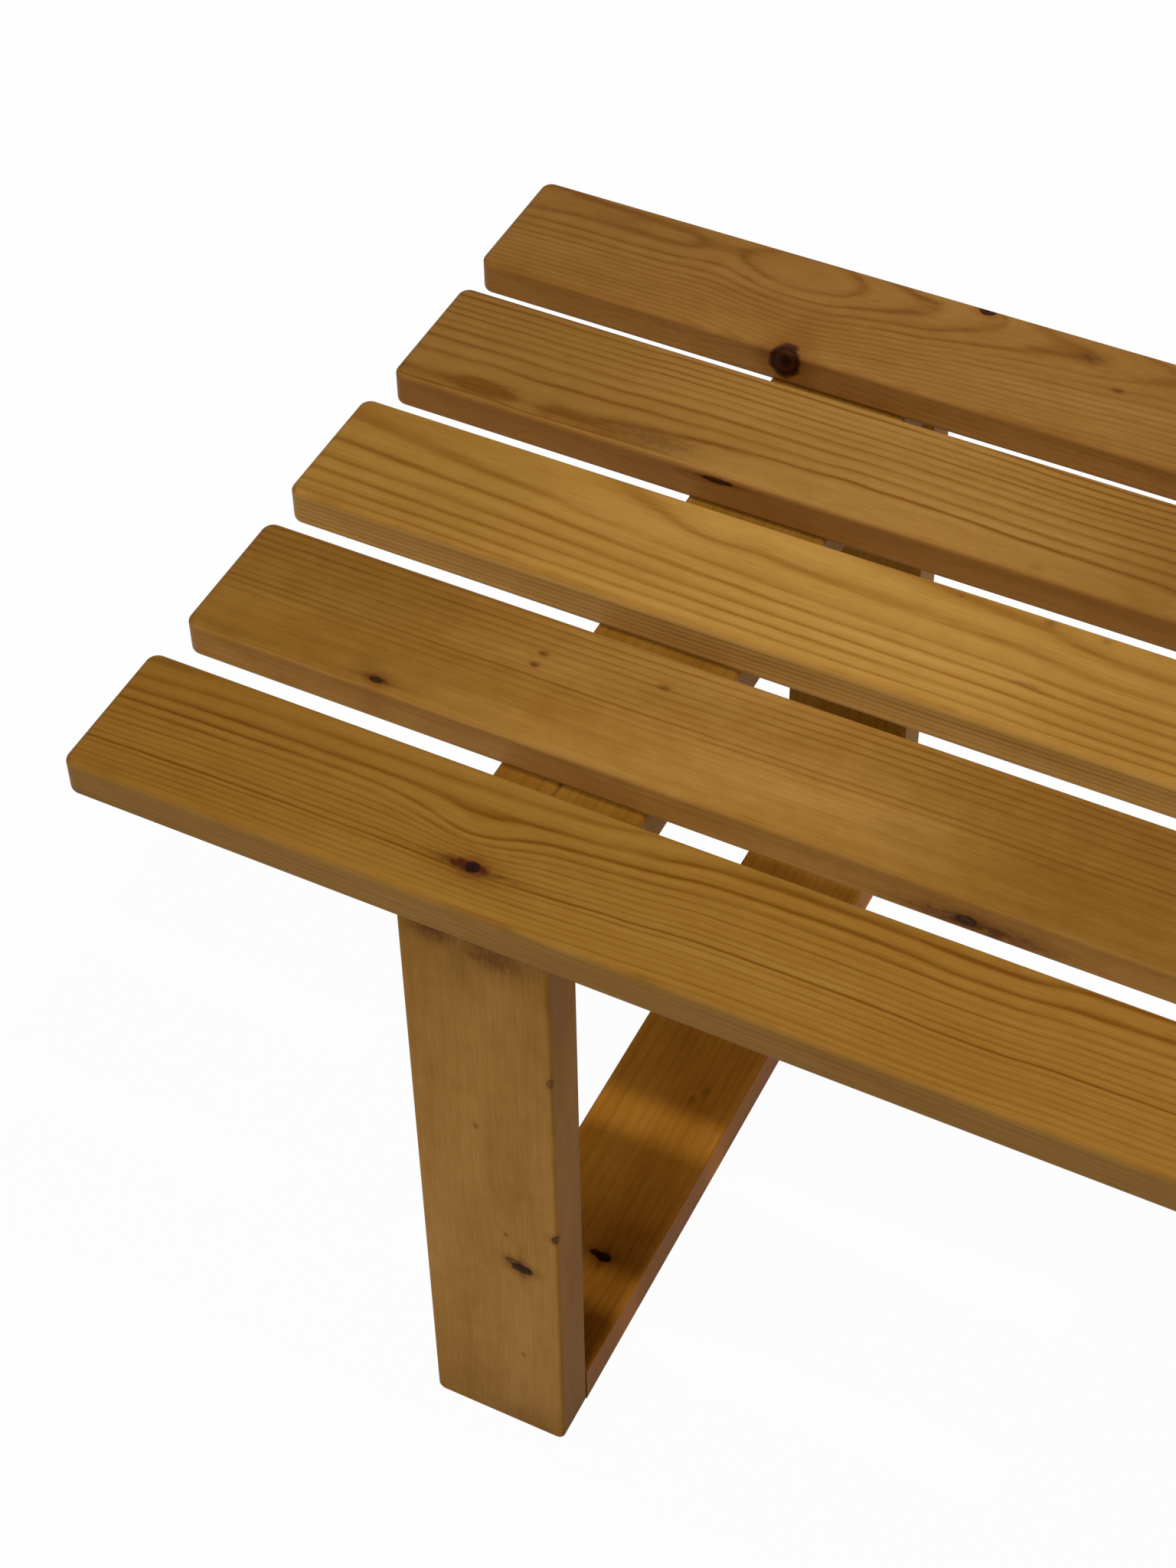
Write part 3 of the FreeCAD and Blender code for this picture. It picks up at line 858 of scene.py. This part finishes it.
def chance_knots(seed, length, width):
    """A few small knots for a board that the photograph doesn't show."""
    chance = random.Random(seed)
    knots = []
    for number in range(KNOTS_PER_BOARD):
        along = length * (number + chance.uniform(*KNOT_ALONG)) / KNOTS_PER_BOARD
        across = width * chance.uniform(*KNOT_ACROSS)
        radius = chance.uniform(*KNOT_RADIUS)
        pull = chance.uniform(*KNOT_PULL)
        knots.append(Knot(
            along, across, radius, stretch=1.3, pull=pull, reach=24.0, tone=0.8, smear=12.0, stain=0.8))
    return tuple(knots)


def dress(node, material):
    """Gives a CAD node its finish."""
    for slot in frame["nodes"][node].material_slots:
        slot.material = material


def knot_tree():
    """The shared knot group, made once."""
    return bpy.data.node_groups.get("Pine knot") or knot_group()


class BENCH_OT_slats(bpy.types.Operator):
    """Finish the five seat slats, each with its own figure"""
    bl_idname = "bench.slats"
    bl_label = "Slats"

    def execute(self, context):
        for node, figure in SLATS.items():
            dress(node, pine(Board(node, "+X", "-Y", "-Z"), figure, knot_tree()))
        return {"FINISHED"}


class BENCH_OT_leg_frames(bpy.types.Operator):
    """Finish the uprights, runners and rails of both leg frames"""
    bl_idname = "bench.leg_frames"
    bl_label = "Leg frames"

    def execute(self, context):
        seed = 11
        for side in ("left", "right"):
            for name, along, across, deep in (
                    ("front_upright", "-Z", "+X", "+Y"), ("back_upright", "-Z", "+X", "-Y"),
                    ("runner", "+Y", "+X", "-Z"), ("rail", "+Y", "+X", "-Z")):
                seed += 7
                node = side + "_" + name
                board = Board(node, along, across, deep)
                length, width = board.size(along), board.size(across)
                looks = SHOWN_BOARDS.get(node) or {"knots": chance_knots(seed, length, width)}
                dress(node, pine(board, quiet_figure(seed, length, width, **looks), knot_tree()))
        return {"FINISHED"}


class BENCH_OT_battens(bpy.types.Operator):
    """Finish the two battens that tie each half's slats together"""
    bl_idname = "bench.battens"
    bl_label = "Battens"

    def execute(self, context):
        for seed, node in ((83, "fixed_batten"), (97, "sliding_batten")):
            board = Board(node, "+Y", "+X", "-Z")
            length, width = board.size(board.along), board.size(board.across)
            knots = chance_knots(seed, length, width)
            dress(node, pine(board, quiet_figure(seed, length, width, knots), knot_tree()))
        return {"FINISHED"}


# Flecks, clouds, patches and turning marks in a metre along X, Y and Z
BEECH_FLECKS = (900, 900, 160)
BEECH_CLOUDS = (60, 60, 25)
ZINC_PATCHES = (320, 320, 320)
ZINC_TURNING = (260, 260, 5200)
# The levels of the noise between which flecks and dull patches come in
FLECK_LEVELS = (0.1, 0.5)
DULL_LEVELS = (-0.2, 0.4)
# How strongly flecks and clouds show in the beech
FLECK_STRENGTH = 0.7
BEECH_SHADE = 0.2
# The roughness of beech and what flecks add; that of zinc and what turning marks and dull patches add
BEECH_ROUGHNESS = (0.62, 0.1)
ZINC_ROUGHNESS = (0.32, 0.08, 0.25)
# Relief of the two finishes, in metres, and how far their marks stand out, as shares of it
BEECH_RELIEF = 0.0001
ZINC_RELIEF = 0.00005
FLECK_HEIGHT = -0.5
PATCH_HEIGHT = 0.5
TURNING_HEIGHT = 0.4


def beech():
    """Turned beech with short flecks along the grain."""
    settings = bpy.context.scene.bench_fittings
    material, sketch = new_material("beech")
    place = sketch.add("ShaderNodeTexCoord").outputs["Object"]
    fleck = sketch.noise(place, BEECH_FLECKS, detail=3.0)
    cloud = sketch.noise(place, BEECH_CLOUDS, detail=2.0)
    mark = sketch.span(fleck, *FLECK_LEVELS, smooth=True)
    colour = sketch.blend(sketch.times(mark, FLECK_STRENGTH), settings.beech, settings.beech_fleck)
    shade = sketch.add_up(1.0, (cloud, BEECH_SHADE))
    colour = sketch.blend(1.0, colour, sketch.combine(shade, shade, shade), "MULTIPLY")
    plain, added = BEECH_ROUGHNESS
    rough = sketch.add_up(plain, (fleck, added))
    surface(sketch, colour, rough, sketch.times(mark, FLECK_HEIGHT), BEECH_RELIEF, gloss=0.3)
    return material


def zinc():
    """Zinc plating with turning marks, dulled in patches."""
    settings = bpy.context.scene.bench_fittings
    material, sketch = new_material("zinc plated steel")
    place = sketch.add("ShaderNodeTexCoord").outputs["Object"]
    patch = sketch.noise(place, ZINC_PATCHES, detail=4.0)
    turned = sketch.noise(place, ZINC_TURNING, detail=1.0)
    dull = sketch.span(patch, *DULL_LEVELS, smooth=True)
    colour = sketch.blend(dull, settings.zinc, settings.zinc_dull)
    plain, *added = ZINC_ROUGHNESS
    rough = sketch.add_up(plain, *zip((turned, dull), added))
    height = sketch.add_up(0.0, (patch, PATCH_HEIGHT), (turned, TURNING_HEIGHT))
    surface(sketch, colour, rough, height, ZINC_RELIEF, metallic=1.0)
    return material


class BENCH_OT_pins(bpy.types.Operator):
    """Finish the dowels and pegs in beech"""
    bl_idname = "bench.pins"
    bl_label = "Dowels and pegs"

    def execute(self, context):
        material = beech()
        for node in ("left_dowels", "right_dowels", "fixed_batten_pegs", "sliding_batten_pegs"):
            dress(node, material)
        return {"FINISHED"}


class BENCH_OT_screws(bpy.types.Operator):
    """Finish the slotted screws in zinc"""
    bl_idname = "bench.screws"
    bl_label = "Screws"

    def execute(self, context):
        material = zinc()
        for node in (
                "left_rail_screws", "right_rail_screws", "fixed_batten_screws", "sliding_batten_screws"):
            dress(node, material)
        return {"FINISHED"}


def placed(name, data):
    """A new object in the scene."""
    thing = bpy.data.objects.new(name, data)
    bpy.context.scene.collection.objects.link(thing)
    return thing


def seen_ray(sketch):
    """1 for a ray that shows the background, straight or in gloss or glass, and 0 for one that lights."""
    path = sketch.add("ShaderNodeLightPath").outputs
    return sketch.most(path["Is Camera Ray"], path["Is Glossy Ray"], path["Is Transmission Ray"])


# The floor's half width, in metres
FLOOR_REACH = 30.0


def lay_floor(settings):
    """A wide pale floor whose shadows are lifted nearly to white in the picture."""
    mesh = bpy.data.meshes.new("floor")
    corners = [(x * FLOOR_REACH, y * FLOOR_REACH, 0) for x, y in ((-1, -1), (1, -1), (1, 1), (-1, 1))]
    mesh.from_pydata(corners, [], [(0, 1, 2, 3)])
    floor = placed("floor", mesh)
    material, sketch = new_material("pale floor")
    tone = settings.floor_tone
    matt = sketch.add("ShaderNodeBsdfDiffuse")
    matt.inputs["Color"].default_value = (tone, tone, tone, 1.0)
    white = sketch.add("ShaderNodeEmission")
    white.inputs["Color"].default_value = WHITE
    seen = sketch.times(seen_ray(sketch), settings.floor_lift)
    mixed = sketch.add("ShaderNodeMixShader")
    sketch.put(mixed.inputs[0], seen)
    sketch.put(mixed.inputs[1], matt.outputs[0])
    sketch.put(mixed.inputs[2], white.outputs[0])
    sketch.end_with(mixed)
    mesh.materials.append(material)


def light_room(settings):
    """Even light from all round, which the camera and mirrors see as white."""
    world = bpy.data.worlds.new("studio")
    world.use_nodes = True
    bpy.context.scene.world = world
    world.node_tree.nodes.clear()
    sketch = Sketch(world.node_tree)
    strength = sketch.span(seen_ray(sketch), 0.0, 1.0, settings.room_light, 1.0)
    background = sketch.add("ShaderNodeBackground")
    background.inputs["Color"].default_value = WHITE
    sketch.put(background.inputs["Strength"], strength)
    sketch.end_with(background, "ShaderNodeOutputWorld")


def aim(thing, spot, target, roll=0.0):
    """Stands a lamp or camera at spot and points it at target."""
    spot, target = Vector(spot), Vector(target)
    turn = (target - spot).to_track_quat("-Z", "Y").to_matrix().to_4x4()
    thing.matrix_world = turn
    thing.location = spot
    thing.rotation_euler.rotate_axis("Z", roll)


# The point that the lamps look at
LAMP_AIM = (-0.2, 0.0, 0.3)


def hang_lights(settings):
    """A small lamp high above, a large soft light high in front and one at the back on the right."""
    for name, power, width, height, spot in (
            ("ceiling lamp", settings.ceiling_power, 0.16, 0.16, (1.2, -0.06, 4.85)),
            ("window light", settings.window_power, 1.8, 1.2, (-0.8, -1.9, 2.6)),
            ("far light", settings.far_power, 1.0, 1.0, (0.9, 0.7, 1.7))):
        light = bpy.data.lights.new(name, "AREA")
        light.shape = "RECTANGLE"
        light.size = width
        light.size_y = height
        light.energy = power
        lamp = placed(name, light)
        aim(lamp, spot, LAMP_AIM)


# The height of the picture that the lens setting goes with, in millimetres
PICTURE_HEIGHT = 36.0


def stand_camera(settings):
    """The camera at the photograph's place."""
    camera = bpy.data.cameras.new("camera")
    camera.sensor_fit = "VERTICAL"
    camera.sensor_height = PICTURE_HEIGHT
    camera.lens = settings.camera_lens
    camera.clip_end = 100.0
    stand = placed("camera", camera)
    aim(stand, settings.camera_spot, settings.camera_aim, settings.camera_roll)
    bpy.context.scene.camera = stand


class BENCH_OT_stage(bpy.types.Operator):
    """Lay the floor, hang the lights and stand the camera"""
    bl_idname = "bench.stage"
    bl_label = "Studio"

    def execute(self, context):
        settings = context.scene.bench_stage
        lay_floor(settings)
        light_room(settings)
        hang_lights(settings)
        stand_camera(settings)
        context.scene.view_settings.view_transform = "Standard"
        return {"FINISHED"}


PROPERTY_GROUPS = {"bench_pine": BenchPine, "bench_fittings": BenchFittings, "bench_stage": BenchStage}
OPERATORS = (
    BENCH_OT_slats, BENCH_OT_leg_frames, BENCH_OT_battens, BENCH_OT_pins, BENCH_OT_screws, BENCH_OT_stage)


class BENCH_PT_finish(bpy.types.Panel):
    """Lists the bench's settings and steps"""
    bl_idname = "BENCH_PT_finish"
    bl_label = "Bench Finish"
    bl_space_type = "VIEW_3D"
    bl_region_type = "UI"
    bl_category = "Bench"

    def draw(self, context):
        layout = self.layout
        for name in PROPERTY_GROUPS:
            box = layout.box()
            group = getattr(context.scene, name)
            for setting in group.bl_rna.properties:
                if not setting.is_readonly and setting.identifier != "name":
                    box.prop(group, setting.identifier)
        for operator in OPERATORS:
            layout.operator(operator.bl_idname)


def register():
    """Registers the settings, the steps and the panel."""
    for name, group in PROPERTY_GROUPS.items():
        bpy.utils.register_class(group)
        setattr(bpy.types.Scene, name, PointerProperty(type=group))
    for operator in OPERATORS:
        bpy.utils.register_class(operator)
    bpy.utils.register_class(BENCH_PT_finish)


def unregister():
    """Takes back what register does."""
    bpy.utils.unregister_class(BENCH_PT_finish)
    for operator in reversed(OPERATORS):
        bpy.utils.unregister_class(operator)
    for name, group in reversed(list(PROPERTY_GROUPS.items())):
        delattr(bpy.types.Scene, name)
        bpy.utils.unregister_class(group)


def main():
    """Runs each step in order."""
    register()
    bpy.ops.bench.slats()
    bpy.ops.bench.leg_frames()
    bpy.ops.bench.battens()
    bpy.ops.bench.pins()
    bpy.ops.bench.screws()
    bpy.ops.bench.stage()


if __name__ == "__main__":
    main()
